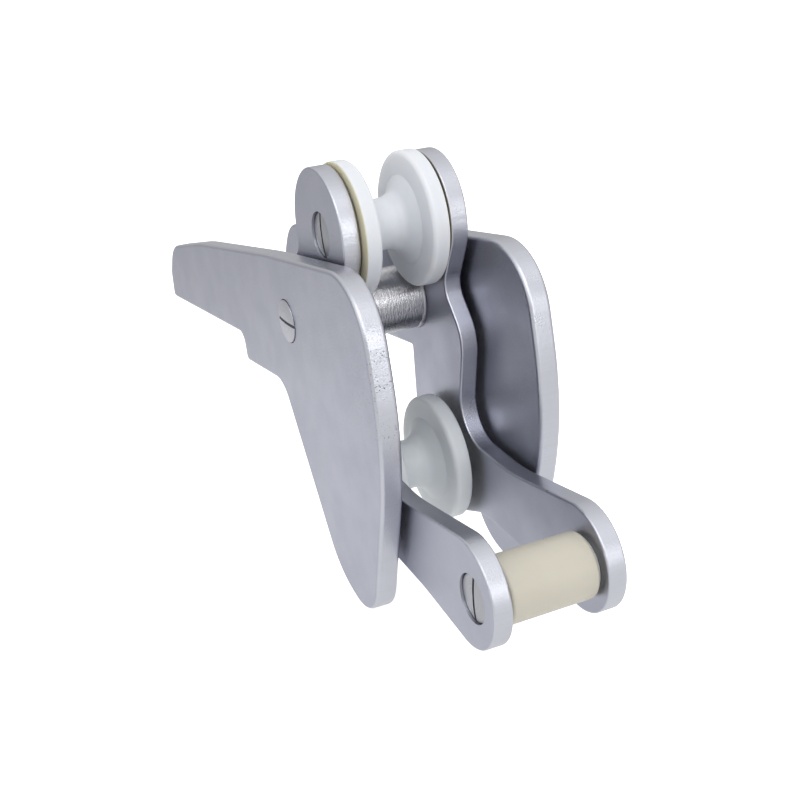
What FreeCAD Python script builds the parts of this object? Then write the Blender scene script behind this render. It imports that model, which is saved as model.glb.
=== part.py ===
import FreeCAD, Part
import math
import os
import Sketcher

# Tilting bow roller.  +X points outboard over the bow, +Y to port, +Z up, millimetres.
# The origin is the middle of the four deck bolts, on the underside of the deck plate.
# The outlines of the cheeks and arms are drawn round the pivot axis.

os.makedirs("parts", exist_ok=True)
doc = FreeCAD.newDocument("tilting_bow_roller")

SIZES = {
    # pivot axis above the deck and ahead of the bolt pattern
    "pivot_x": 146.0,
    "pivot_z": 19.2,
    # fixed bracket
    "cheek_thk": 10.2,
    "cheek_edge": 1.8,
    "plate_thk": 8.0,
    "plate_front": -23.0,
    "plate_rear": -212.0,
    "plate_corner": 6.0,
    "lip_length": 12.0,
    "lip_rise": 4.0,
    "plate_weld": 4.0,
    "bolt_pitch_x": 80.0,
    "bolt_pitch_y": 36.0,
    "bolt_hole": 9.0,
    # tilting cradle
    "arm_thk": 8.5,
    "arm_inner": 21.2,
    "arm_edge": 0.9,
    "tilt_range": 50.0,
    "stop_gap": 0.15,
    "notch_depth": 3.5,
    "heel_reach": 7.0,
    "heel_depth": 8.0,
    "heel_slant": 4.0,
    "heel_root": 0.3,
    "shoulder_reach": 4.5,
    "shoulder_rise": 5.0,
    "shoulder_slant": 3.0,
    "upper_x": 25.3,
    "upper_z": 40.0,
    "middle_x": 23.0,
    "middle_z": -74.0,
    "front_x": 139.0,
    "front_z": -90.2,
    "upper_lobe": 28.4,
    "front_lobe": 23.8,
    "front_reach": 17.2,
    "front_drop": 53.9,
    "tube_radius": 15.5,
    "tube_weld": 2.4,
    "tube_weld_rise": 0.7,
    "bush_radius": 9.0,
    "bush_length": 20.0,
    # pins: slotted barrel bolts closed by a slotted screw
    "pin_radius": 7.0,
    "head_radius": 10.0,
    "head_thk": 3.0,
    "head_sink": 1.2,
    "pivot_sink": -0.6,
    "head_dome": 0.7,
    "head_room": 0.35,
    "slot_width": 1.5,
    "slot_depth": 1.2,
    "screw_radius": 4.0,
    "screw_length": 16.0,
    "fit": 0.05,
    "roller_fit": 0.1,
    # rollers
    "upper_radius": 30.5,
    "middle_radius": 29.8,
    "rim_edge": 0.5,
    "rim_width": 7.5,
    "upper_shift": -1.3,
    "middle_shift": -1.9,
    "ring_radius": 20.0,
    "hub_radius": 11.5,
    "barrel_radius": 14.0,
    "washer_radius": 11.5,
    "pivot_washer_radius": 14.5,
    "upper_washer": 2.5,
    "middle_washer": 3.6,
    "front_washer": 0.9,
    "pivot_washer": 2.0,
    "washer_play": 0.25,
}
D = dict(SIZES)

# What stands between the arms, and the space that the cradle leaves between the cheeks.
arm_outer = D["arm_inner"] + D["arm_thk"]
for name in ("upper", "middle"):
    near = D["arm_inner"] - D[f"{name}_washer"] - 2 * D["washer_play"]
    D[f"{name}_half"] = near + abs(D[f"{name}_shift"])
D["barrel_half"] = D["arm_inner"] - D["front_washer"] - 2 * D["washer_play"]
D["cheek_inner"] = arm_outer + D["pivot_washer"] + 2 * D["washer_play"]
cheek_outer = D["cheek_inner"] + D["cheek_thk"]

sheet = doc.addObject("Spreadsheet::Sheet", "Sizes")
for row, (alias, value) in enumerate(D.items(), start=1):
    sheet.set(f"A{row}", alias)
    sheet.set(f"B{row}", str(value))
    sheet.setAlias(f"B{row}", alias)
doc.recompute()

V = FreeCAD.Vector


def unit(ax, ay):
    length = math.hypot(ax, ay)
    return ax / length, ay / length


def rounded(corners):
    """Lines and arcs of a closed outline whose corners are (x, y, radius)."""
    trimmed = []
    count = len(corners)
    for i, (x, y, radius) in enumerate(corners):
        px, py, _ = corners[i - 1]
        nx, ny, _ = corners[(i + 1) % count]
        ax, ay = unit(px - x, py - y)
        bx, by = unit(nx - x, ny - y)
        if radius <= 0:
            trimmed.append((V(x, y, 0), None, V(x, y, 0)))
            continue
        half = math.acos(max(-1.0, min(1.0, ax * bx + ay * by))) / 2
        cut = radius / math.tan(half)
        mx, my = unit(ax + bx, ay + by)
        reach = radius / math.sin(half)
        start = V(x + ax * cut, y + ay * cut, 0)
        end = V(x + bx * cut, y + by * cut, 0)
        middle = V(x + mx * (reach - radius), y + my * (reach - radius), 0)
        trimmed.append((start, middle, end))
    segments = []
    for i, (start, middle, end) in enumerate(trimmed):
        if middle is not None:
            segments.append(Part.Arc(start, middle, end))
        following = trimmed[(i + 1) % count][0]
        if (following - end).Length > 1e-6:
            segments.append(Part.LineSegment(end, following))
    return segments


def new_body(label, x=0.0, y=0.0, z=0.0):
    body = doc.addObject("PartDesign::Body", label)
    body.Label = label
    body.Placement = FreeCAD.Placement(V(x, y, z), FreeCAD.Rotation())
    return body


def at_pivot(body, dx="0", dz="0"):
    body.setExpression("Placement.Base.x", f"Sizes.pivot_x + {dx}")
    body.setExpression("Placement.Base.z", f"Sizes.pivot_z + {dz}")


def plane_of(body, role):
    for feature in body.Origin.OriginFeatures:
        if feature.Role == role:
            return feature
    raise RuntimeError(f"no {role} in {body.Label}")


def new_sketch(body, role, name, offset=None):
    sketch = body.newObject("Sketcher::SketchObject", f"{body.Label}_{name}")
    sketch.AttachmentSupport = [(plane_of(body, role), "")]
    sketch.MapMode = "FlatFace"
    if offset is not None:
        sketch.setExpression("AttachmentOffset.Base.z", offset)
    return sketch


def shared_end(sketch, i, j):
    """The end of curve i and the end of curve j that meet (1 start, 2 end)."""
    pairs = [(a, b) for a in (1, 2) for b in (1, 2)]
    gaps = [(sketch.getPoint(i, a) - sketch.getPoint(j, b)).Length for a, b in pairs]
    return pairs[gaps.index(min(gaps))]


def draw(sketch, segments):
    for segment in segments:
        sketch.addGeometry(segment, False)
    count = len(segments)
    for i in range(count):
        following = (i + 1) % count
        end, start = shared_end(sketch, i, following)
        sketch.addConstraint(Sketcher.Constraint("Coincident", i, end, following, start))


def draw_circle(sketch, radius, expression, x=0.0, z=0.0):
    index = sketch.addGeometry(Part.Circle(V(x, z, 0), V(0, 0, 1), radius), False)
    constraint = sketch.addConstraint(Sketcher.Constraint("Radius", index, radius))
    sketch.setExpression(f"Constraints[{constraint}]", expression)


def volume(feature):
    doc.recompute()
    return feature.Shape.Volume


def pad(body, sketch, name, length, midplane=False):
    feature = body.newObject("PartDesign::Pad", f"{body.Label}_{name}")
    feature.Profile = sketch
    feature.Midplane = midplane
    feature.setExpression("Length", length)
    body.Tip = feature
    doc.recompute()
    return feature


def pocket(body, sketch, name, depth=None):
    """Cuts into the body, turning the cut round when it would leave the body whole."""
    before = volume(body.Tip)
    feature = body.newObject("PartDesign::Pocket", f"{body.Label}_{name}")
    feature.Profile = sketch
    if depth is None:
        feature.Type = 1
        feature.Midplane = True
    else:
        feature.setExpression("Length", depth)
    body.Tip = feature
    doc.recompute()
    if depth is not None and (not feature.isValid() or volume(feature) > before - 1e-3):
        feature.Reversed = True
        doc.recompute()
    if volume(feature) > before - 1e-3:
        raise RuntimeError(f"{feature.Name} cuts nothing")
    return feature


def rim_edges(plate):
    """The longest edge of each flat side; the rounding runs on round the smooth outline."""
    longest = {}
    for i, edge in enumerate(plate.Shape.Edges, start=1):
        if edge.BoundBox.YLength < 1e-6:
            side = round(edge.BoundBox.YMin, 3)
            longest[side] = max(longest.get(side, (0.0, "")), (edge.Length, f"Edge{i}"))
    return [name for _, name in longest.values()]


def fillet(body, names, name, radius):
    rounded_one = body.Tip
    feature = body.newObject("PartDesign::Fillet", f"{body.Label}_{name}")
    feature.Base = (rounded_one, names)
    feature.setExpression("Radius", radius)
    body.Tip = feature
    doc.recompute()
    return feature


def counterbored(body, sunk_offset, x, z, sink="head_sink"):
    """Through hole with a flat-bottomed seat for a pin head on the outer face."""
    hole = new_sketch(body, "XZ_Plane", f"hole_{len(body.Group)}")
    draw_circle(hole, D["pin_radius"] + D["fit"], "Sizes.pin_radius + Sizes.fit", x, z)
    pocket(body, hole, f"hole_cut_{len(body.Group)}")
    seat = new_sketch(body, "XZ_Plane", f"seat_{len(body.Group)}", sunk_offset)
    room = "Sizes.head_radius + Sizes.head_room"
    draw_circle(seat, D["head_radius"] + D["head_room"], room, x, z)
    pocket(body, seat, f"seat_cut_{len(body.Group)}", f"Sizes.head_thk + Sizes.{sink}")


# ---- fixed bracket: two cheeks welded to a deck plate

# The wing lies along the deck, a hook steps down over its edge and the nose hangs in front.
STEP_X = -78.7
HOOK_Z = -33.3


def cheek_outline(tip, heel_corner):
    """The outline of a cheek; the two lowest corners of the nose differ a little."""
    return [
        (-221.2, -D["pivot_z"], 3.0),
        (-218.8, -3.3, 12.0),
        (-205.6, 13.8, 26.0),
        (-140.0, 22.0, 300.0),
        (-20.0, 29.0, 500.0),
        (91.5, 31.8, 31.0),
        (97.6, -42.5, 130.0),
        tip,
        heel_corner,
        (-21.6, HOOK_Z, 16.0),
        (STEP_X + 0.6, HOOK_Z, 3.0),
        (STEP_X, -D["pivot_z"], 6.0),
    ]


STARBOARD_CHEEK = cheek_outline((60.5, -130.9, 21.0), (23.5, -116.7, 40.0))
PORT_CHEEK = cheek_outline((62.0, -127.5, 19.0), (30.5, -117.4, 30.0))


def make_cheek(label, corners, y_expression, y_value, outer_offset):
    body = new_body(label, y=y_value)
    at_pivot(body)
    body.setExpression("Placement.Base.y", y_expression)
    outline = new_sketch(body, "XZ_Plane", "outline")
    draw(outline, rounded(corners))
    plate = pad(body, outline, "plate", "Sizes.cheek_thk")
    fillet(body, rim_edges(plate), "edge", "Sizes.cheek_edge")
    counterbored(body, outer_offset, 0.0, 0.0, "pivot_sink")
    return body


starboard_place = ("-Sizes.cheek_inner", -D["cheek_inner"], "Sizes.cheek_thk")
port_place = ("Sizes.cheek_inner + Sizes.cheek_thk", cheek_outer, "0")
make_cheek("starboard_cheek", STARBOARD_CHEEK, *starboard_place)
make_cheek("port_cheek", PORT_CHEEK, *port_place)

deck_plate = new_body("deck_plate")
at_pivot(deck_plate, dz="(-Sizes.pivot_z)")
plan = new_sketch(deck_plate, "XY_Plane", "plan")
side = D["cheek_inner"]
draw(plan, rounded([
    (D["plate_rear"], -side, D["plate_corner"]),
    (D["plate_front"], -side, 0.0),
    (D["plate_front"], side, 0.0),
    (D["plate_rear"], side, D["plate_corner"]),
]))
pad(deck_plate, plan, "plate", "Sizes.plate_thk")
holes = new_sketch(deck_plate, "XY_Plane", "bolt_holes")
for sx in (-1, 1):
    for sy in (-1, 1):
        hole_x = -D["pivot_x"] + sx * D["bolt_pitch_x"] / 2
        hole_y = sy * D["bolt_pitch_y"] / 2
        draw_circle(holes, D["bolt_hole"] / 2, "Sizes.bolt_hole / 2", hole_x, hole_y)
pocket(deck_plate, holes, "bolt_cut")
# The lip in front is bevelled underneath, so nothing below it bears on the deck.
bevel = new_sketch(deck_plate, "XZ_Plane", "lip_bevel")
draw(bevel, rounded([
    (D["plate_front"] - D["lip_length"], 0.0, 0.0),
    (D["plate_front"], 0.0, 0.0),
    (D["plate_front"], D["lip_rise"], 0.0),
]))
pocket(deck_plate, bevel, "lip_cut")

WELD_INSET = 6.0


def make_plate_weld(label, sign):
    """Fillet weld in the corner between the deck plate and a cheek."""
    body = new_body(label)
    length = D["plate_front"] - D["plate_rear"] - 2 * (WELD_INSET + D["plate_corner"])
    rear = D["plate_rear"] + WELD_INSET + D["plate_corner"]
    at_pivot(body, dx=f"({rear})", dz="(Sizes.plate_thk - Sizes.pivot_z)")
    section = new_sketch(body, "YZ_Plane", "section")
    wall = sign * D["cheek_inner"]
    leg = D["plate_weld"]
    corner = V(wall, 0, 0)
    on_plate = V(wall - sign * leg, 0, 0)
    on_wall = V(wall, leg, 0)
    bulge = V(wall - sign * leg * 0.6, leg * 0.6, 0)
    draw(section, [
        Part.LineSegment(corner, on_plate),
        Part.Arc(on_plate, bulge, on_wall),
        Part.LineSegment(on_wall, corner),
    ])
    pad(body, section, "bead", f"{length}")
    return body


make_plate_weld("starboard_plate_weld", -1)
make_plate_weld("port_plate_weld", 1)

# ---- tilting cradle: two arms on a cross tube

# Each arm has a boss round the pivot with a notch for the front lip of the deck plate.
# The heel under the lip stops the cradle as it tips out, the shoulder over it as it is stowed.
tilt = math.radians(D["tilt_range"])
plate_top = D["plate_thk"] - D["pivot_z"]
lip_slope = D["lip_rise"] / D["lip_length"]
lip = D["plate_front"]
face_distance = -plate_top - D["stop_gap"]
face_nx = math.sin(-tilt)
face_nz = -math.cos(-tilt)


def shoulder(x):
    """Height of the shoulder face at x: the plate top turned back by the whole tilt."""
    return (face_distance - face_nx * x) / face_nz


def heel(x):
    """Height of the heel's face at x, just under the bevel of the lip."""
    under = -D["pivot_z"] + lip_slope * (x - lip + D["lip_length"])
    return under - D["stop_gap"] * math.hypot(1.0, lip_slope)


notch_x = lip + D["notch_depth"]
heel_end = lip - D["heel_reach"]
heel_foot = heel(heel_end) - D["heel_depth"]
shoulder_end = lip - D["shoulder_reach"]
upper_rear = D["upper_x"] - D["upper_lobe"] - 3.4
upper_front = D["upper_x"] + D["upper_lobe"] - 3.4
front_end = D["front_x"] + D["front_reach"]
front_top = D["front_z"] + D["front_lobe"] + 0.7

ARM = [
    (upper_rear, D["upper_z"] + D["upper_lobe"] + 0.9, D["upper_lobe"] - 0.1),
    (upper_front, D["upper_z"] + D["upper_lobe"] + 0.9, D["upper_lobe"] - 0.1),
    (upper_front, 31.6, 20.0),
    (34.7, 8.4, 10.0),
    (49.4, -13.4, 20.0),
    (34.2, -60.6, 18.0),
    (80.0, front_top - 2.3, 90.0),
    (front_end, front_top, D["front_lobe"]),
    (front_end, front_top - D["front_drop"], D["front_lobe"] - 1.2),
    (92.0, -102.9, 70.0),
    (61.0, -97.6, 40.0),
    (48.0, -97.2, 14.0),
    (20.0, -104.2, 26.0),
    (-11.5, -98.0, 24.0),
    (-10.8, -56.0, 60.0),
    (-7.4, heel_foot - D["heel_root"], 1.2),
    (heel_end + D["heel_slant"], heel_foot, 4.0),
    (heel_end, heel(heel_end), 1.6),
    (notch_x, heel(notch_x), 2.0),
    (notch_x, shoulder(notch_x), 2.0),
    (shoulder_end, shoulder(shoulder_end), 1.6),
    (shoulder_end + D["shoulder_slant"], shoulder(shoulder_end) + D["shoulder_rise"], 4.0),
    (upper_rear, 31.0, 8.0),
]


def make_arm(label, y_expression, y_value, outer_offset):
    body = new_body(label, y=y_value)
    at_pivot(body)
    body.setExpression("Placement.Base.y", y_expression)
    outline = new_sketch(body, "XZ_Plane", "outline")
    draw(outline, rounded(ARM))
    plate = pad(body, outline, "plate", "Sizes.arm_thk")
    fillet(body, rim_edges(plate), "edge", "Sizes.arm_edge")
    bush_hole = new_sketch(body, "XZ_Plane", "bush_hole")
    draw_circle(bush_hole, D["bush_radius"] + D["fit"], "Sizes.bush_radius + Sizes.fit")
    pocket(body, bush_hole, "bush_cut")
    for name in ("upper", "middle", "front"):
        counterbored(body, outer_offset, D[f"{name}_x"], D[f"{name}_z"])
    return body


make_arm("starboard_arm", "-Sizes.arm_inner", -D["arm_inner"], "Sizes.arm_thk")
make_arm("port_arm", "Sizes.arm_inner + Sizes.arm_thk", arm_outer, "0")

tube = new_body("pivot_tube")
at_pivot(tube)
ring = new_sketch(tube, "XZ_Plane", "ring")
draw_circle(ring, D["tube_radius"], "Sizes.tube_radius")
draw_circle(ring, D["bush_radius"] + D["fit"], "Sizes.bush_radius + Sizes.fit")
pad(tube, ring, "tube", "2 * Sizes.arm_inner", midplane=True)


def revolve(body, sketch, name, axis="V_Axis"):
    feature = body.newObject("PartDesign::Revolution", f"{body.Label}_{name}")
    feature.Profile = sketch
    feature.ReferenceAxis = (sketch, [axis])
    feature.Angle = 360.0
    body.Tip = feature
    doc.recompute()
    return feature


def make_tube_weld(label, sign):
    """Weld bead round the end of the cross tube, against an arm, low enough for the upper roller."""
    body = new_body(label)
    at_pivot(body)
    section = new_sketch(body, "XY_Plane", "section")
    inner = D["tube_radius"]
    wall = sign * D["arm_inner"]
    leg = D["tube_weld"]
    rise = D["tube_weld_rise"]
    corner = V(inner, wall, 0)
    on_tube = V(inner, wall - sign * leg, 0)
    on_wall = V(inner + rise, wall, 0)
    bulge = V(inner + rise * 0.62, wall - sign * leg * 0.62, 0)
    draw(section, [
        Part.LineSegment(corner, on_tube),
        Part.Arc(on_tube, bulge, on_wall),
        Part.LineSegment(on_wall, corner),
    ])
    revolve(body, section, "bead")
    return body


make_tube_weld("starboard_tube_weld", -1)
make_tube_weld("port_tube_weld", 1)

# ---- pins


def domed(face, out):
    """Corners of a head's domed face, from its middle to its rim; out is -1 or 1."""
    head = D["head_radius"]
    dome = D["head_dome"]
    turn = math.atan2(dome, 0.45 * head)
    top = face + out * dome
    return [
        (0.0, top, 0.0),
        (0.55 * head, top, 0.4 * head / math.tan(turn / 2)),
        (head, face, 0.3),
    ]


def make_pin(label, dx, dz, half_span, slot_angle, sink="head_sink"):
    """Barrel bolt lying along Y: slotted head to starboard, tapped for a screw to port."""
    body = new_body(label)
    at_pivot(body, dx=dx, dz=dz)
    head_face = -half_span + D[sink]
    shoulder_y = head_face + D["head_thk"]
    far_end = half_span - D[sink] - D["head_thk"] - 0.3
    section = new_sketch(body, "XY_Plane", "section")
    pin = D["pin_radius"]
    head = D["head_radius"]
    bore = D["screw_radius"] + D["fit"]
    bore_floor = far_end - D["screw_length"] - 2.0
    draw(section, rounded(domed(head_face, -1) + [
        (head, shoulder_y, 0.0),
        (pin, shoulder_y, 0.0),
        (pin, far_end, 0.4),
        (bore, far_end, 0.0),
        (bore, bore_floor, 0.0),
        (0.0, bore_floor - bore * 0.5, 0.0),
    ]))
    revolve(body, section, "turned")
    slot = new_sketch(body, "XZ_Plane", "slot", f"{D['head_dome'] - head_face}")
    cut_slot(slot, slot_angle)
    pocket(body, slot, "slot_cut", "Sizes.slot_depth + Sizes.head_dome")
    return body


def cut_slot(sketch, angle):
    """Screwdriver slot right across a head, at an angle from +X in the XZ plane."""
    c = math.cos(math.radians(angle))
    s = math.sin(math.radians(angle))
    half_length = D["head_radius"] + 1.0
    half_width = D["slot_width"] / 2
    corners = []
    for u, w in ((-1, -1), (1, -1), (1, 1), (-1, 1)):
        along = u * half_length
        across = w * half_width
        corners.append((along * c - across * s, along * s + across * c, 0.0))
    draw(sketch, rounded(corners))


make_pin("pivot_bolt", "0", "0", cheek_outer, -7.0, "pivot_sink")
PINS = [
    ("upper_axle", "Sizes.upper_x", "Sizes.upper_z", 90.0),
    ("middle_axle", "Sizes.middle_x", "Sizes.middle_z", 38.0),
    ("front_axle", "Sizes.front_x", "Sizes.front_z", 83.0),
]
for name, dx, dz, angle in PINS:
    make_pin(name, dx, dz, arm_outer, angle)


def screw_solid(x, z, half_span, angle, sink="head_sink"):
    """Slotted screw that closes a barrel bolt from the port side."""
    face = half_span - D[sink]
    under = face - D["head_thk"]
    outline = rounded(domed(face, 1) + [(D["head_radius"], under, 0.0), (0.0, under, 0.0)])
    profile = Part.Face(Part.Wire([segment.toShape() for segment in outline]))
    head = profile.revolve(V(0, 0, 0), V(0, 1, 0), 360)
    back = V(0, -1, 0)
    shank = Part.makeCylinder(D["screw_radius"], D["screw_length"], V(0, under, 0), back)
    solid = head.fuse(shank).removeSplitter()
    length = 2 * D["head_radius"] + 2.0
    width = D["slot_width"]
    depth = D["slot_depth"] + D["head_dome"]
    floor = face - D["slot_depth"]
    slot = Part.makeBox(length, depth, width, V(-length / 2, floor, -width / 2))
    slot.rotate(V(0, 0, 0), V(0, 1, 0), -angle)
    solid = solid.cut(slot)
    solid.translate(V(D["pivot_x"] + x, 0, D["pivot_z"] + z))
    return solid


def group(label, solids):
    feature = doc.addObject("Part::Feature", label)
    feature.Label = label
    feature.Shape = solids[0] if len(solids) == 1 else Part.makeCompound(solids)
    return feature


group("pivot_screw", [screw_solid(0.0, 0.0, cheek_outer, 25.0, "pivot_sink")])
group("axle_screws", [
    screw_solid(D["upper_x"], D["upper_z"], arm_outer, 70.0),
    screw_solid(D["middle_x"], D["middle_z"], arm_outer, 12.0),
    screw_solid(D["front_x"], D["front_z"], arm_outer, 130.0),
])


def ring_solid(x, z, y_from, y_to, outer, inner):
    """Flat ring or sleeve along Y between two stations."""
    base = V(D["pivot_x"] + x, y_from, D["pivot_z"] + z)
    along = V(0, 1, 0)
    body = Part.makeCylinder(outer, y_to - y_from, base, along)
    return body.cut(Part.makeCylinder(inner, y_to - y_from, base, along))


play = D["washer_play"]
bush_bore = D["pin_radius"] + D["fit"]
bush_end = arm_outer - 0.1
bush_start = bush_end - D["bush_length"]
group("pivot_bushes", [
    ring_solid(0, 0, -bush_end, -bush_start, D["bush_radius"], bush_bore),
    ring_solid(0, 0, bush_start, bush_end, D["bush_radius"], bush_bore),
])
pivot_ring = (arm_outer + play, arm_outer + play + D["pivot_washer"])
washer_bore = D["pin_radius"] + 0.2
group("pivot_washers", [
    ring_solid(0, 0, -pivot_ring[1], -pivot_ring[0], D["pivot_washer_radius"], washer_bore),
    ring_solid(0, 0, pivot_ring[0], pivot_ring[1], D["pivot_washer_radius"], washer_bore),
])
# The upper and middle rollers run against the starboard arm, so their one washer fills
# the port side. The front roller has a washer at each end.
far = D["arm_inner"] - play
outer = D["washer_radius"]
for name, sides in (("upper", (1,)), ("middle", (1,)), ("front", (-1, 1))):
    near = far - D[f"{name}_washer"]
    rings = [
        ring_solid(D[f"{name}_x"], D[f"{name}_z"], min(at * near, at * far),
                   max(at * near, at * far), outer, washer_bore)
        for at in sides
    ]
    group(f"{name}_washers", rings)

# ---- rollers


def make_spool(label, name):
    """Waisted roller: two wide rims, a flat ring, a soft step and a hollow run down to the hub."""
    body = new_body(label)
    at_pivot(body, dx=f"Sizes.{name}_x", dz=f"Sizes.{name}_z")
    body.setExpression("Placement.Base.y", f"Sizes.{name}_shift")
    section = new_sketch(body, "XY_Plane", "section")
    bore = D["pin_radius"] + D["roller_fit"]
    half = D[f"{name}_half"]
    rim = D[f"{name}_radius"]
    inside = half - D["rim_width"]
    ring_r = D["ring_radius"]
    hub = D["hub_radius"]
    one_side = [
        (bore, half, 0.6),
        (rim, half, D["rim_edge"]),
        (rim, inside, 2.2),
        (ring_r, inside - 0.7, 1.0),
        (ring_r - 1.4, inside - 1.7, 2.0),
        (hub + 2.2, inside - 4.6, 6.0),
        (hub, inside - 9.2, 8.0),
    ]
    other_side = [(r, -y, radius) for r, y, radius in reversed(one_side)]
    draw(section, rounded(one_side + other_side))
    revolve(body, section, "turned")
    return body


make_spool("upper_roller", "upper")
make_spool("middle_roller", "middle")

front = new_body("front_roller")
at_pivot(front, dx="Sizes.front_x", dz="Sizes.front_z")
section = new_sketch(front, "XY_Plane", "section")
bore = D["pin_radius"] + D["roller_fit"]
draw(section, rounded([
    (bore, -D["barrel_half"], 0.6),
    (D["barrel_radius"], -D["barrel_half"], 1.8),
    (D["barrel_radius"], D["barrel_half"], 1.8),
    (bore, D["barrel_half"], 0.6),
]))
revolve(front, section, "turned")

# ---- checks and export

doc.recompute()
NODES = [
    "starboard_cheek", "port_cheek", "deck_plate", "starboard_plate_weld", "port_plate_weld",
    "pivot_bolt", "pivot_screw", "pivot_washers",
    "starboard_arm", "port_arm", "pivot_tube", "starboard_tube_weld", "port_tube_weld",
    "pivot_bushes", "upper_axle", "middle_axle", "front_axle", "axle_screws",
    "upper_washers", "middle_washers", "front_washers",
    "upper_roller", "middle_roller", "front_roller",
]
for thing in doc.Objects:
    if "Invalid" in thing.State or "Error" in thing.State:
        raise RuntimeError(f"{thing.Name}: {thing.State}")
for label in NODES:
    node = doc.getObjectsByLabel(label)[0]
    shape = node.Shape
    if shape.isNull() or not shape.isValid():
        raise RuntimeError(f"{label}: shape is null or not valid")
    box = shape.BoundBox
    print(f"{label:22s} solids {len(shape.Solids)} volume {shape.Volume:10.0f} "
          f"x {box.XMin:7.1f} {box.XMax:7.1f} y {box.YMin:6.1f} {box.YMax:6.1f} "
          f"z {box.ZMin:7.1f} {box.ZMax:7.1f}")
    shape.exportStep(os.path.join("parts", f"{label}.step"))
print(f"{len(NODES)} nodes written")
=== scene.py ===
# %% [markdown]
# # Dressing a tilting bow roller
# A bow roller guides an anchor and its chain over the bow of a boat. This one has two
# fixed cheeks on a deck plate, and between them a cradle of two curved arms that tips on
# a cross tube. Three plastic rollers turn in the cradle.
#
# The solid pieces come from the engineering model and stay as they are. This lesson gives
# each of them its finish, and lays real, uneven weld beads where the model has plain ones.

# %% Load the engineering model
import math

import bmesh
import bpy
from mathutils import Matrix, Vector, noise


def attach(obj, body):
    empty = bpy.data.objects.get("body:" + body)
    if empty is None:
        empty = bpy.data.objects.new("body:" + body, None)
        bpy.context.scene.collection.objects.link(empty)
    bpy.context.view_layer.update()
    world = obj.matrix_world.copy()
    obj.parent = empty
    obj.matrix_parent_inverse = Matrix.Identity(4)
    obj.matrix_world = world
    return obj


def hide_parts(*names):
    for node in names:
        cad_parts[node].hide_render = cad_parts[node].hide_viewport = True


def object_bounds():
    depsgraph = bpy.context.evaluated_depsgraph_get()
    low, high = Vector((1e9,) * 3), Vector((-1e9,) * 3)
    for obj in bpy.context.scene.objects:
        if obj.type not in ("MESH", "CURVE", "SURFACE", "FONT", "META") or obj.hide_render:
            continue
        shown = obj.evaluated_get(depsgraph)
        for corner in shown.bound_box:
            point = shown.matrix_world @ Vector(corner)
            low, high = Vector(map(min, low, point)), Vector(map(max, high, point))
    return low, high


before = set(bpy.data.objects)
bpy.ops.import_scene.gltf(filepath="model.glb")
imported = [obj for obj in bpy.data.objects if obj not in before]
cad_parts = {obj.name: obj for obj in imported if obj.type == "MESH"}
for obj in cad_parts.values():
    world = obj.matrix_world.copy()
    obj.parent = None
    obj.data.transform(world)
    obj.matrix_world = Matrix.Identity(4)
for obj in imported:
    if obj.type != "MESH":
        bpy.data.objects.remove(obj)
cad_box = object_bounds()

scene = bpy.context.scene
print(len(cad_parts), "pieces, from", tuple(cad_box[0]), "to", tuple(cad_box[1]))

# %% [markdown]
# ## The camera
# The picture was taken from ahead of the bow and a little to one side, looking slightly
# down, with the camera tipped so that the roller leans. A camera could be aimed with a
# Track To constraint, but its tip is easier to set by writing its three axes: right, up,
# and back towards the eye.

# %% Camera
AZIMUTH = math.radians(67.65)
ELEVATION = math.radians(16.37)
ROLL = math.radians(-7.17)
DISTANCE = 0.5797
AIM = Vector((0.16565, 0.0, -0.0243))
PICTURE_WIDTH = 800
FOCAL_PIXELS = 1242.7

back = Vector((
    math.sin(AZIMUTH) * math.cos(ELEVATION),
    -math.cos(AZIMUTH) * math.cos(ELEVATION),
    math.sin(ELEVATION),
))
level = Vector((0, 0, 1)).cross(back).normalized()
upright = back.cross(level)
right = level * math.cos(ROLL) + upright * math.sin(ROLL)
up = upright * math.cos(ROLL) - level * math.sin(ROLL)

camera_data = bpy.data.cameras.new("camera")
camera_data.sensor_width = 36.0
camera_data.lens = 36.0 * FOCAL_PIXELS / PICTURE_WIDTH
camera_data.clip_start = 0.01
camera = bpy.data.objects.new("camera", camera_data)
turn = Matrix((right, up, back)).transposed().to_4x4()
camera.matrix_world = Matrix.Translation(AIM + back * DISTANCE) @ turn
scene.collection.objects.link(camera)
scene.camera = camera
print("lens", round(camera_data.lens, 2), "mm at", tuple(round(v, 3) for v in camera.location))

# %% [markdown]
# ## Small helpers for materials
# A material is a tree of nodes. Most of its nodes are sums and noises, so a few short
# helpers keep the cells readable: one plugs a value or another socket into a socket, one
# does a sum, and one stretches a range of values onto another. The rest are as small.
# A node tree can be drawn by hand in the shader editor too, but code can be read in order.

# %% Material helpers


def plug(tree, value, socket):
    """Links a socket to another one, or sets it to a plain value."""
    if isinstance(value, bpy.types.NodeSocket):
        tree.links.new(value, socket)
    else:
        socket.default_value = value


def number(tree, operation, *values):
    """One sum on plain values or sockets."""
    node = tree.nodes.new("ShaderNodeMath")
    node.operation = operation
    for value, socket in zip(values, node.inputs):
        plug(tree, value, socket)
    return node.outputs[0]


def spread(tree, value, low, high, to_low=0.0, to_high=1.0):
    """Stretches a value between low and high onto another range, smoothly at its ends."""
    node = tree.nodes.new("ShaderNodeMapRange")
    node.interpolation_type = "SMOOTHSTEP"
    for name, part in (("Value", value), ("From Min", low), ("From Max", high),
                       ("To Min", to_low), ("To Max", to_high)):
        plug(tree, part, node.inputs[name])
    return node.outputs[0]


def place_of(tree, kind="Object"):
    """Where on its piece, or which way, a point of the surface lies."""
    return tree.nodes.new("ShaderNodeTexCoord").outputs[kind]


def parts_of(tree, vector):
    """The x, y and z of a vector socket."""
    node = tree.nodes.new("ShaderNodeSeparateXYZ")
    plug(tree, vector, node.inputs[0])
    return node.outputs


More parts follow.
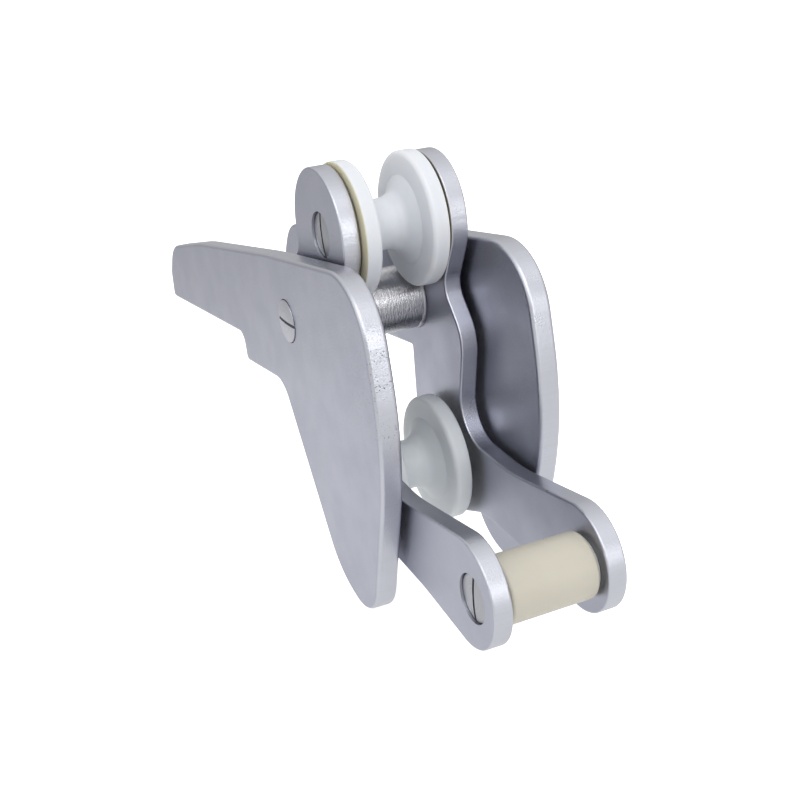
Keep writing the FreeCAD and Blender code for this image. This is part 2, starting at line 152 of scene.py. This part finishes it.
def cloud(tree, place, scale, detail=2.0, rough=0.5):
    """A soft random value from 0 to 1 that changes with the place."""
    node = tree.nodes.new("ShaderNodeTexNoise")
    plug(tree, place, node.inputs["Vector"])
    plug(tree, scale, node.inputs["Scale"])
    node.inputs["Detail"].default_value = detail
    node.inputs["Roughness"].default_value = rough
    return node.outputs[0]


def blend_colours(tree, amount, first, second):
    """The first colour where the amount is 0, the second where it is 1."""
    node = tree.nodes.new("ShaderNodeMix")
    node.data_type = "RGBA"
    plug(tree, amount, node.inputs[0])
    for colour, socket in ((first, node.inputs[6]), (second, node.inputs[7])):
        if not isinstance(colour, bpy.types.NodeSocket):
            colour = (*colour, 1.0)
        plug(tree, colour, socket)
    return node.outputs[2]


def darker(shade, share):
    """The same colour with only a share of its brightness."""
    return tuple(value * share for value in shade)


def distance(tree, across, tall):
    """How far a point is from an axis, from its two offsets."""
    across = number(tree, "POWER", across, 2.0)
    tall = number(tree, "POWER", tall, 2.0)
    return number(tree, "SQRT", number(tree, "ADD", across, tall))


def lathe_place(tree, reach, along):
    """A place for a noise that only changes with the distance from an axis and along it."""
    node = tree.nodes.new("ShaderNodeCombineXYZ")
    plug(tree, reach, node.inputs[0])
    plug(tree, along, node.inputs[1])
    return node.outputs[0]


def bump(tree, height, depth, under=None):
    """A bump of the given depth in metres, on top of another one where there is one."""
    node = tree.nodes.new("ShaderNodeBump")
    node.inputs["Distance"].default_value = depth
    plug(tree, height, node.inputs["Height"])
    if under is not None:
        tree.links.new(under, node.inputs["Normal"])
    return node.outputs[0]


def new_material(name, metallic, roughness):
    """A material with one Principled shader; gives the material, its tree and the shader."""
    material = bpy.data.materials.new(name)
    material.use_nodes = True
    shader = material.node_tree.nodes["Principled BSDF"]
    shader.inputs["Metallic"].default_value = metallic
    shader.inputs["Roughness"].default_value = roughness
    return material, material.node_tree, shader


def finish_with(material, *names):
    """Gives CAD pieces a finish."""
    for name in names:
        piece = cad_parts[name]
        if not piece.material_slots:
            piece.data.materials.append(material)
        for place in piece.material_slots:
            place.material = material
    print(material.name, "on", ", ".join(names))


# %% [markdown]
# ## The floor
# The lowest points of the part are the tips of the cheeks, and the floor lies just under
# them. It is a plain sheet, wide enough that its edge never comes into the picture. A
# curved backdrop would do the same, but a flat one has no fold to show in the metal.

# %% Floor
FLOOR_HALF = 30.0
FLOOR_GAP = 0.0005


def new_object(name, mesh_maker):
    """A finished piece at the origin, with its place in its mesh."""
    mesh = bpy.data.meshes.new(name)
    mesh_maker.to_mesh(mesh)
    mesh_maker.free()
    thing = bpy.data.objects.new(name, mesh)
    scene.collection.objects.link(thing)
    return thing


floor_mesh = bmesh.new()
bmesh.ops.create_grid(floor_mesh, x_segments=1, y_segments=1, size=FLOOR_HALF)
bmesh.ops.translate(floor_mesh, verts=floor_mesh.verts, vec=(0, 0, cad_box[0].z - FLOOR_GAP))
floor = new_object("floor", floor_mesh)
print("floor at", round(cad_box[0].z - FLOOR_GAP, 4))

# %% [markdown]
# ## The light
# Satin metal shows what stands round it, so it is lit by large pale things rather than
# by small lamps. A pale room stands round everything, brighter overhead and dimmer astern.
# A wide soft box hangs over the bow, a faint one stands by the near side, and a small low
# one ahead puts the bright line on the rims and on the cross tube. Colours are shown as
# measured, with no film look on top.

# %% Light
scene.view_settings.view_transform = "Standard"
scene.view_settings.look = "None"

# Each soft box is (place in metres, width in metres, watts).
BOW_LIGHT = ((1.5, -0.5, 1.3), 1.8, 11.0)
SIDE_LIGHT = ((0.2, -1.9, 0.7), 1.2, 3.0)
PORT_LIGHT = ((1.55, 0.34, 0.20), 0.65, 2.6)
WHITE = (1.0, 1.0, 1.0, 1.0)
ROOM_LOW = 0.75
ROOM_HIGH = 1.25
ROOM_ASTERN = 0.70
ROOM_BEHIND_PART = 1.1


def soft_box(name, place, size, watts):
    """A square area lamp that faces the roller."""
    lamp = bpy.data.lights.new(name, "AREA")
    lamp.shape = "SQUARE"
    lamp.size = size
    lamp.energy = watts
    thing = bpy.data.objects.new(name, lamp)
    thing.location = place
    thing.rotation_euler = (Vector(place) - AIM).to_track_quat("Z", "Y").to_euler()
    scene.collection.objects.link(thing)


soft_box("bow_light", *BOW_LIGHT)
soft_box("side_light", *SIDE_LIGHT)
soft_box("port_light", *PORT_LIGHT)

room = bpy.data.worlds.new("white_room")
room.use_nodes = True
tree = room.node_tree
facing = parts_of(tree, place_of(tree, "Generated"))
tree.nodes["Background"].inputs["Color"].default_value = WHITE
overhead = spread(tree, facing[2], 0.15, 0.75, ROOM_LOW, ROOM_HIGH)
ahead = spread(tree, facing[0], -0.7, 0.5, ROOM_ASTERN, 1.0)
seen = tree.nodes.new("ShaderNodeLightPath").outputs["Is Camera Ray"]
walls = number(tree, "MULTIPLY", overhead, ahead)
behind = number(tree, "MULTIPLY", seen, ROOM_BEHIND_PART)
strength = tree.nodes["Background"].inputs["Strength"]
plug(tree, number(tree, "MAXIMUM", walls, behind), strength)
scene.world = room

# %% [markdown]
# ## Effects that several finishes share
# Each effect is a node group, so it is built once and dialled in by every material that
# uses it. A group only gives out masks and heights; the shader stays in the material.
#
# The first one tells the flat sides of a plate from its rim, from the direction that
# the surface faces. Every plate here stands upright along Y, so that is the only axis
# that counts, and it stays true when the cradle tips.

# %% Effect groups


def new_effect(name, inputs, outputs):
    """An empty node group; gives the group, what it takes and what it gives out."""
    group = bpy.data.node_groups.new(name, "ShaderNodeTree")
    for label, default in inputs:
        kind = "NodeSocketVector" if isinstance(default, tuple) else "NodeSocketFloat"
        socket = group.interface.new_socket(label, in_out="INPUT", socket_type=kind)
        socket.default_value = default
    for label in outputs:
        group.interface.new_socket(label, in_out="OUTPUT", socket_type="NodeSocketFloat")
    taken = group.nodes.new("NodeGroupInput").outputs
    given = group.nodes.new("NodeGroupOutput").inputs
    return group, taken, given


def use(tree, group, **values):
    """Puts an effect into a tree with some of its inputs set; gives its outputs."""
    node = tree.nodes.new("ShaderNodeGroup")
    node.node_tree = group
    for label, value in values.items():
        plug(tree, value, node.inputs[label])
    return node.outputs


rim_mask, _, given = new_effect("rim_mask", [], ["Rim"])
facing = parts_of(rim_mask, place_of(rim_mask, "Normal"))
sideways = number(rim_mask, "ABSOLUTE", facing[1])
plug(rim_mask, spread(rim_mask, sideways, 0.70, 0.985, 1.0, 0.0), given["Rim"])

# %% [markdown]
# A blasted face is covered with fine dimples and is a little cloudy. Grinding leaves
# parallel marks, which are the same noise stretched along one direction.

# %% Grain and grinding marks
blasted, taken, given = new_effect(
    "blasted_grain", [("Grain", 1500.0), ("Clouds", 45.0)], ["Height", "Cloud"])
where = place_of(blasted)
plug(blasted, cloud(blasted, where, taken["Grain"], 3.0, 0.6), given["Height"])
plug(blasted, cloud(blasted, where, taken["Clouds"], 4.0, 0.55), given["Cloud"])

ground, taken, given = new_effect(
    "grinding_marks", [("Stretch", (1.0, 0.05, 1.0)), ("Marks", 900.0)], ["Height"])
stretched = ground.nodes.new("ShaderNodeVectorMath")
stretched.operation = "MULTIPLY"
plug(ground, place_of(ground), stretched.inputs[0])
plug(ground, taken["Stretch"], stretched.inputs[1])
plug(ground, cloud(ground, stretched.outputs[0], taken["Marks"], 3.0, 0.7), given["Height"])

# %% [markdown]
# ## Pits in a casting
# Castings keep small pits where gas was trapped. Voronoi cells give each pit a centre,
# and their random shade decides which few cells have one. Where the photograph shows a
# patch of pits or a single one, a ball-shaped mask puts it there.

# %% Casting pits
pits, taken, given = new_effect("casting_pits", [("Cells", 1150.0), ("Share", 0.1)], ["Pit"])
cells = pits.nodes.new("ShaderNodeTexVoronoi")
plug(pits, place_of(pits), cells.inputs["Vector"])
plug(pits, taken["Cells"], cells.inputs["Scale"])
middle = spread(pits, cells.outputs["Distance"], 0.12, 0.34, 1.0, 0.0)
shade = pits.nodes.new("ShaderNodeSeparateColor")
plug(pits, cells.outputs["Color"], shade.inputs[0])
chosen = number(pits, "LESS_THAN", shade.outputs[0], taken["Share"])
plug(pits, number(pits, "MULTIPLY", middle, chosen), given["Pit"])

ball, taken, given = new_effect(
    "ball_mask", [("Centre", (0.0, 0.0, 0.0)), ("Inner", 0.0), ("Outer", 0.001)], ["Mask"])
apart = ball.nodes.new("ShaderNodeVectorMath")
apart.operation = "DISTANCE"
plug(ball, place_of(ball), apart.inputs[0])
plug(ball, taken["Centre"], apart.inputs[1])
inside = spread(ball, apart.outputs["Value"], taken["Inner"], taken["Outer"], 1.0, 0.0)
plug(ball, inside, given["Mask"])
print(len(bpy.data.node_groups), "effects")

# %% [markdown]
# ## Cast steel plates
# The cheeks and arms are cast stainless steel. Their sides are blasted to a soft grey
# with a faint blue cast, and their rims are ground bright, with marks straight across. One
# function makes both finishes, because only their shades and their pits differ.

# %% Satin plates
SIDE_GREY = (0.402, 0.413, 0.485)
RIM_BRIGHT = (0.545, 0.555, 0.61)
CLOUD_GREY = (0.25, 0.25, 0.28)
STREAK_GREY = (0.35, 0.35, 0.37)
# Painted shade for the hollows of the pits.
PIT_PAINTED_SHADE = (0.06, 0.06, 0.07)
MIDDLE_HALF = (0.3, 0.7)        # where most of a noise lies
MARKS_DEEP = (0.35, 0.75)       # the deeper half of the grinding marks
GRAIN_DEPTH = 0.00012
STREAK_DEPTH = 0.00005
PIT_DEPTH = 0.0003


def satin_plate(name, side, rim, spots, side_rough=0.36, rim_rough=0.30):
    """Blasted sides, ground rims and pits; spots are (centre, inner, outer, share of cells)."""
    material, tree, shader = new_material(name, 1.0, side_rough)
    edge = use(tree, rim_mask)["Rim"]
    grain = use(tree, blasted)
    marks = use(tree, ground)["Height"]
    pitted = 0.0
    for centre, inner, outer, share in spots:
        hole = use(tree, ball, Centre=centre, Inner=inner, Outer=outer)["Mask"]
        if share < 1:
            hole = number(tree, "MULTIPLY", hole, use(tree, pits, Share=share)["Pit"])
        pitted = number(tree, "MAXIMUM", pitted, hole)

    colour = blend_colours(tree, edge, side, rim)
    cloudy = spread(tree, grain["Cloud"], *MIDDLE_HALF, 0.0, 0.07)
    colour = blend_colours(tree, cloudy, colour, CLOUD_GREY)
    streaks = number(tree, "MULTIPLY", edge, spread(tree, marks, *MARKS_DEEP, 0.0, 0.10))
    colour = blend_colours(tree, streaks, colour, STREAK_GREY)
    # The pits are painted dark as well: painted shade in their hollows.
    colour = blend_colours(tree, number(tree, "MULTIPLY", pitted, 0.65), colour, PIT_PAINTED_SHADE)
    plug(tree, colour, shader.inputs["Base Color"])

    rough = spread(tree, edge, 0.0, 1.0, side_rough, rim_rough)
    rough = number(tree, "ADD", rough, spread(tree, grain["Cloud"], *MIDDLE_HALF, -0.03, 0.05))
    plug(tree, rough, shader.inputs["Roughness"])

    surface = bump(tree, grain["Height"], GRAIN_DEPTH)
    surface = bump(tree, number(tree, "MULTIPLY", marks, edge), STREAK_DEPTH, surface)
    surface = bump(tree, number(tree, "SUBTRACT", 1.0, pitted), PIT_DEPTH, surface)
    plug(tree, surface, shader.inputs["Normal"])
    return material


cheek_spots = [
    ((0.241, -0.037, 0.004), 0.004, 0.038, 0.30),
    ((0.228, -0.037, -0.049), 0.0004, 0.0010, 1.0),
]
arm_spots = [((0.262, 0.026, -0.052), 0.0003, 0.0008, 1.0)]
cheek_steel = satin_plate("cheek_steel", SIDE_GREY, RIM_BRIGHT, cheek_spots)
arm_steel = satin_plate("arm_steel", SIDE_GREY, RIM_BRIGHT, arm_spots)
finish_with(cheek_steel, "starboard_cheek", "port_cheek")
finish_with(arm_steel, "starboard_arm", "port_arm")

# %% [markdown]
# ## Rolled sheet
# The deck plate is cut from rolled sheet, so its marks run along it: the noise is slow
# along X. The same function serves the cross tube below, with its marks turned.

# %% Rolled and ground steel
# A painted shade on the underside of the cross tube, darker towards the bottom.
UNDERSIDE_PAINTED_SHADE = (0.16, 0.165, 0.18)
UNDERSIDE_SHADE_SHARE = 0.8


def marked_steel(name, shade, stretch, rough=0.34, marks=900.0, depth=0.00012, shaded_below=None):
    """Bright steel with parallel marks; the last argument is (z_low, z_high) of a painted shade
    underneath, darker towards the bottom.
    """
    material, tree, shader = new_material(name, 1.0, rough)
    lines = use(tree, ground, Stretch=stretch, Marks=marks)["Height"]
    grain = use(tree, blasted)
    deep = spread(tree, lines, *MARKS_DEEP, 0.0, 0.20)
    colour = blend_colours(tree, deep, shade, darker(shade, 0.55))
    # Painted shade: the colour darkens towards the bottom of the piece.
    if shaded_below:
        height = parts_of(tree, place_of(tree))[2]
        painted_underside_shade = spread(tree, height, *shaded_below, UNDERSIDE_SHADE_SHARE, 0.0)
        colour = blend_colours(tree, painted_underside_shade, colour, UNDERSIDE_PAINTED_SHADE)
    plug(tree, colour, shader.inputs["Base Color"])
    uneven = spread(tree, grain["Cloud"], *MIDDLE_HALF, rough - 0.05, rough + 0.08)
    plug(tree, uneven, shader.inputs["Roughness"])
    plug(tree, bump(tree, lines, depth), shader.inputs["Normal"])
    return material


finish_with(marked_steel("rolled_steel", (0.50, 0.51, 0.55), (0.04, 1.0, 1.0)), "deck_plate")

# %% [markdown]
# ## The cross tube
# The cross tube was spun against a belt, so its marks run round it: the noise is fine
# along Y and slow in the other two directions. Its underside is painted darker, a painted
# shade that deepens towards the bottom.

# %% Cross tube
tube_steel = marked_steel("tube_steel", (0.62, 0.62, 0.64), (0.25, 1.0, 0.25), rough=0.20,
                          marks=1350.0, depth=0.00028, shaded_below=(0.005, 0.016))
finish_with(tube_steel, "pivot_tube")

# %% [markdown]
# ## Pins
# Each pin is turned on a lathe, so its head has fine rings round its own axis. The
# distance from that axis drives the rings. The three screws are one piece here, so the
# nearest of their axes is taken.

# %% Turned pins
# Each axis runs along Y, so it is given by its (x, z).
PIVOT = (0.146, 0.0192)
UPPER = (0.1713, 0.0592)
MIDDLE = (0.169, -0.0548)
FRONT = (0.285, -0.071)
HEAD_GREY = (0.41, 0.42, 0.45)
RING_DEPTH = 0.00008


def turned_steel(name, shade, *axes):
    """Steel with lathe rings round the nearest of the axes, each an (x, z)."""
    material, tree, shader = new_material(name, 1.0, 0.36)
    where = parts_of(tree, place_of(tree))
    reach = 1.0
    for x, z in axes:
        away = distance(tree, number(tree, "SUBTRACT", where[0], x),
                        number(tree, "SUBTRACT", where[2], z))
        reach = number(tree, "MINIMUM", reach, away)
    rings = cloud(tree, lathe_place(tree, reach, where[1]), 1800.0, 2.0, 0.6)
    grain = use(tree, blasted)
    dark_rings = spread(tree, rings, *MIDDLE_HALF, 0.0, 0.3)
    colour = blend_colours(tree, dark_rings, shade, darker(shade, 0.6))
    plug(tree, colour, shader.inputs["Base Color"])
    plug(tree, spread(tree, grain["Cloud"], *MIDDLE_HALF, 0.30, 0.42), shader.inputs["Roughness"])
    plug(tree, bump(tree, rings, RING_DEPTH), shader.inputs["Normal"])
    return material


# The pivot pins are painted lighter and the upper pin darker than the other heads of the same
# steel: painted light and painted shade.
pivot_steel = turned_steel("pivot_pin_steel", (0.49, 0.50, 0.54), PIVOT)
finish_with(pivot_steel, "pivot_bolt", "pivot_screw")
finish_with(turned_steel("upper_pin_steel", (0.38, 0.39, 0.42), UPPER), "upper_axle")
finish_with(turned_steel("middle_pin_steel", HEAD_GREY, MIDDLE), "middle_axle")
finish_with(turned_steel("front_pin_steel", HEAD_GREY, FRONT), "front_axle")
finish_with(turned_steel("screw_steel", HEAD_GREY, UPPER, MIDDLE, FRONT), "axle_screws")
finish_with(turned_steel("bush_bronze", (0.45, 0.30, 0.13), PIVOT), "pivot_bushes")

# %% [markdown]
# ## Plastic rollers
# The rollers are turned from nylon. Nylon lets some light into it, so the shader needs
# subsurface scattering, and the tool leaves faint rings. The flat ends stand in the shade of
# the arms, and their darker, yellower colour is a painted shade. The upper roller is nearly
# white, the middle one is greyer and the front one is cream.

# %% Nylon
NYLON_DEPTH = 0.004             # how far light goes into it, in metres
NYLON_REDDENS = (1.0, 0.9, 0.75)
NYLON_BENDS = 1.5
TOOL_DEPTH = 0.00003


def nylon(name, shade, end_painted_shade, half_length, axis, shift=0.0, depth=NYLON_DEPTH,
          rough=0.38):
    """Turned nylon whose flat ends carry a painted shade; shift is how far it slid to port."""
    material, tree, shader = new_material(name, 0.0, rough)
    where = parts_of(tree, place_of(tree))
    from_middle = number(tree, "ABSOLUTE", number(tree, "SUBTRACT", where[1], shift))
    ends = spread(tree, from_middle, half_length - 0.0006, half_length - 0.0001)
    lathe = tree.nodes.new("ShaderNodeMapping")
    lathe.inputs["Location"].default_value = (-axis[0], 0.0, -axis[1])
    plug(tree, place_of(tree), lathe.inputs["Vector"])
    offset = parts_of(tree, lathe.outputs[0])
    reach = distance(tree, offset[0], offset[2])
    rings = cloud(tree, lathe_place(tree, reach, offset[1]), 1400.0, 1.0, 0.5)
    milky = cloud(tree, place_of(tree), 70.0, 3.0, 0.5)

    # The flat ends take a darker, yellower colour: painted shade of the narrow gaps by the arms.
    colour = blend_colours(tree, ends, shade, end_painted_shade)
    milky = spread(tree, milky, *MIDDLE_HALF, 0.0, 0.12)
    colour = blend_colours(tree, milky, colour, darker(shade, 0.8))
    plug(tree, colour, shader.inputs["Base Color"])
    uneven = spread(tree, rings, *MIDDLE_HALF, rough - 0.04, rough + 0.06)
    plug(tree, uneven, shader.inputs["Roughness"])
    plug(tree, bump(tree, rings, TOOL_DEPTH), shader.inputs["Normal"])

    shader.inputs["Subsurface Weight"].default_value = 0.7
    shader.inputs["Subsurface Radius"].default_value = NYLON_REDDENS
    shader.inputs["Subsurface Scale"].default_value = depth
    shader.inputs["IOR"].default_value = NYLON_BENDS
    return material


# The second colour of each is the painted shade on its flat ends.
white_nylon = nylon("white_nylon", (0.65, 0.67, 0.705), (0.50, 0.47, 0.33), 0.0195, UPPER,
                    shift=-0.0013, depth=0.008)
grey_nylon = nylon("grey_nylon", (0.63, 0.66, 0.68), (0.62, 0.64, 0.60), 0.0190, MIDDLE,
                   shift=-0.0019, depth=0.010)
cream_nylon = nylon("cream_nylon", (0.50, 0.475, 0.405), (0.38, 0.35, 0.24), 0.0198, FRONT)
washer_nylon = nylon("washer_nylon", (0.70, 0.69, 0.60), (0.60, 0.58, 0.48), 0.0321, PIVOT)
finish_with(white_nylon, "upper_roller")
finish_with(grey_nylon, "middle_roller")
finish_with(cream_nylon, "front_roller")
finish_with(washer_nylon, "pivot_washers", "upper_washers", "middle_washers", "front_washers")

# %% [markdown]
# ## Weld beads
# A bead laid by hand has ripples and never quite the same width. The section of a bead is
# drawn once as three points, and the spin operator sweeps it: round the tube for the two
# ring beads, and straight along the deck plate for the other two. Then every point
# moves a little, by a wave for the ripples and a noise for the welder's hand.

# %% Bead helpers
PIVOT_POINT = Vector((PIVOT[0], 0.0, PIVOT[1]))


def swept_section(points, axis, angle, shift, steps):
    """A section of (x, y, z) points swept by the spin operator."""
    bead = bmesh.new()
    corners = [bead.verts.new(point) for point in points]
    edges = [bead.edges.new((corners[i - 1], corners[i])) for i in range(len(corners))]
    bmesh.ops.spin(bead, geom=corners + edges, cent=PIVOT_POINT, axis=axis, dvec=shift,
                   angle=angle, steps=steps, use_merge=angle > 0)
    return bead


def close_bead(bead):
    """Caps open ends, joins the seam and turns all the faces outwards."""
    loose = [edge for edge in bead.edges if edge.is_boundary]
    if loose:
        bmesh.ops.holes_fill(bead, edges=loose, sides=0)
    bmesh.ops.remove_doubles(bead, verts=bead.verts, dist=1e-6)
    bmesh.ops.recalc_face_normals(bead, faces=bead.faces)


def bead_section(corner, along_first, along_second, leg_first, leg_second, points=7):
    """A fillet section: the corner, then a bulging line from one leg to the other."""
    section = [corner]
    for i in range(points):
        turn = 0.5 * math.pi * i / (points - 1)
        section.append(corner + along_first * leg_first * math.cos(turn) ** 0.8
                       + along_second * leg_second * math.sin(turn) ** 0.8)
    return section


# %% [markdown]
# A ring bead runs round the cross tube at each arm. It is low, because the upper roller
# passes close over it.

# %% Ring beads round the cross tube
TUBE_RADIUS = 0.0155
ARM_INNER = 0.0212
RING_LEG = 0.0022
RING_RISE = 0.0006
RING_STEPS = 220
RING_RIPPLE = 0.0011
SUNK = 0.0004


def ring_bead(name, side):
    """A ragged bead between the tube's end and an arm; side is -1 starboard or +1 port."""
    corner = PIVOT_POINT + Vector((TUBE_RADIUS - SUNK, side * ARM_INNER, 0))
    section = bead_section(corner, Vector((1, 0, 0)), Vector((0, -side, 0)),
                           RING_RISE + SUNK, RING_LEG)
    bead = swept_section(section, (0, 1, 0), math.tau, (0, 0, 0), RING_STEPS)
    close_bead(bead)
    for point in bead.verts:
        spoke = point.co - PIVOT_POINT
        turn = math.atan2(spoke.z, spoke.x)
        spoke.y = 0
        rise = spoke.length - TUBE_RADIUS + SUNK
        inward = ARM_INNER - abs(point.co.y)
        phase = turn * math.tau * TUBE_RADIUS / RING_RIPPLE + 6 * inward / RING_LEG
        wave = 0.5 + 0.5 * math.sin(phase)
        round_tube = Vector((math.cos(turn), math.sin(turn), side))
        hand = noise.noise(round_tube * 3.1) + 0.5 * noise.noise(round_tube * 9.0)
        grow = 0.86 + 0.10 * wave + 0.26 * hand
        point.co += spoke.normalized() * rise * (grow - 1)
        point.co.y += side * inward * (1 - grow)
    thing = new_object(name, bead)
    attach(thing, "cradle")
    return thing


starboard_ring = ring_bead("starboard_ring_bead", -1)
port_ring = ring_bead("port_ring_bead", 1)
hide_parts("starboard_tube_weld")
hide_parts("port_tube_weld")
print("ring beads", len(starboard_ring.data.polygons), "faces each")

# %% [markdown]
# A long bead fills each corner between the deck plate and a cheek. It thins out at its two
# ends, where the welder started and stopped.

# %% Long beads beside the deck plate
CHEEK_INNER = 0.0322
PLATE_TOP = 0.008
LONG_LEG = 0.0038
LONG_STEPS = 330
LONG_RIPPLE = 0.0026
END_TAPER = 0.003
BEAD_REAR = -0.054
BEAD_FRONT = 0.111


def long_bead(name, side):
    """A rippled bead in the corner of the deck plate and a cheek."""
    corner = Vector((BEAD_REAR, side * CHEEK_INNER, PLATE_TOP))
    section = bead_section(corner, Vector((0, -side, 0)), Vector((0, 0, 1)), LONG_LEG, LONG_LEG)
    step = (BEAD_FRONT - BEAD_REAR) / LONG_STEPS
    bead = swept_section(section, (0, 0, 1), 0.0, (step, 0, 0), LONG_STEPS)
    close_bead(bead)
    for point in bead.verts:
        inward = CHEEK_INNER - abs(point.co.y)
        rise = point.co.z - PLATE_TOP
        from_end = min(point.co.x - BEAD_REAR, BEAD_FRONT - point.co.x)
        taper = 0.15 + 0.85 * min(1.0, max(0.0, from_end / END_TAPER)) ** 0.5
        bow = (inward / LONG_LEG) * (rise / LONG_LEG)
        wave = 0.5 + 0.5 * math.sin(point.co.x * math.tau / LONG_RIPPLE + 5 * bow)
        hand = noise.noise(Vector((point.co.x * 90, side, 0.0)))
        grow = taper * (0.88 + 0.08 * wave + 0.12 * hand)
        point.co.y += side * inward * (1 - grow)
        point.co.z -= rise * (1 - grow)
    thing = new_object(name, bead)
    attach(thing, "bracket")
    return thing


starboard_long = long_bead("starboard_long_bead", -1)
port_long = long_bead("port_long_bead", 1)
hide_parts("starboard_plate_weld")
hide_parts("port_plate_weld")
print("long beads", len(port_long.data.polygons), "faces each")

# %% [markdown]
# The beads were brushed clean, so they are a little brighter than the plates, and duller
# in places where the heat was.

# %% Bead finish
BEAD_GREY = (0.50, 0.50, 0.53)
HEATED_GREY = (0.42, 0.415, 0.41)

bead_steel, tree, shader = new_material("bead_steel", 1.0, 0.34)
grain = use(tree, blasted, Grain=2600.0, Clouds=220.0)
heat = spread(tree, grain["Cloud"], 0.45, 0.75)
plug(tree, blend_colours(tree, heat, BEAD_GREY, HEATED_GREY), shader.inputs["Base Color"])
plug(tree, spread(tree, grain["Height"], *MIDDLE_HALF, 0.28, 0.42), shader.inputs["Roughness"])
plug(tree, bump(tree, grain["Height"], 0.0001), shader.inputs["Normal"])
for piece in (starboard_ring, port_ring, starboard_long, port_long):
    piece.data.materials.append(bead_steel)
    piece.data.shade_smooth()

# %% [markdown]
# ## The pale floor
# The floor is matt and nearly white, with a very faint unevenness so that it isn't a flat
# card. It glows from below, a painted light that is brightest under the roller for all rays
# but the camera's, and that light is what the lower faces of the cheeks and arms show.
# The camera sees it paler and glowing evenly, a painted light that washes out the part's
# shadow on it.

# %% Floor finish
PALE_LOW = (0.93, 0.93, 0.93)
PALE_HIGH = (0.95, 0.95, 0.95)
SEEN_BY_METAL = (0.28, 0.28, 0.28)
GLOW_NEAR, GLOW_FAR = 0.15, 0.85    # metres from the middle of the floor

paper, tree, shader = new_material("pale_floor", 0.0, 0.9)
unevenness = spread(tree, cloud(tree, place_of(tree), 6.0, 3.0, 0.5), *MIDDLE_HALF)
shown = blend_colours(tree, unevenness, PALE_LOW, PALE_HIGH)
seen = tree.nodes.new("ShaderNodeLightPath").outputs["Is Camera Ray"]
plug(tree, blend_colours(tree, seen, SEEN_BY_METAL, shown), shader.inputs["Base Color"])
shader.inputs["Emission Color"].default_value = (1.0, 1.0, 1.0, 1.0)
far = tree.nodes.new("ShaderNodeVectorMath")
far.operation = "LENGTH"
plug(tree, place_of(tree), far.inputs[0])
glow = spread(tree, far.outputs["Value"], GLOW_NEAR, GLOW_FAR, 0.76, 0.39)
# Camera rays see an even glow, painted light over the part's shadow; other rays see the glow
# above.
plug(tree, spread(tree, seen, 0.0, 1.0, glow, 0.75), shader.inputs["Emission Strength"])
floor.data.materials.append(paper)
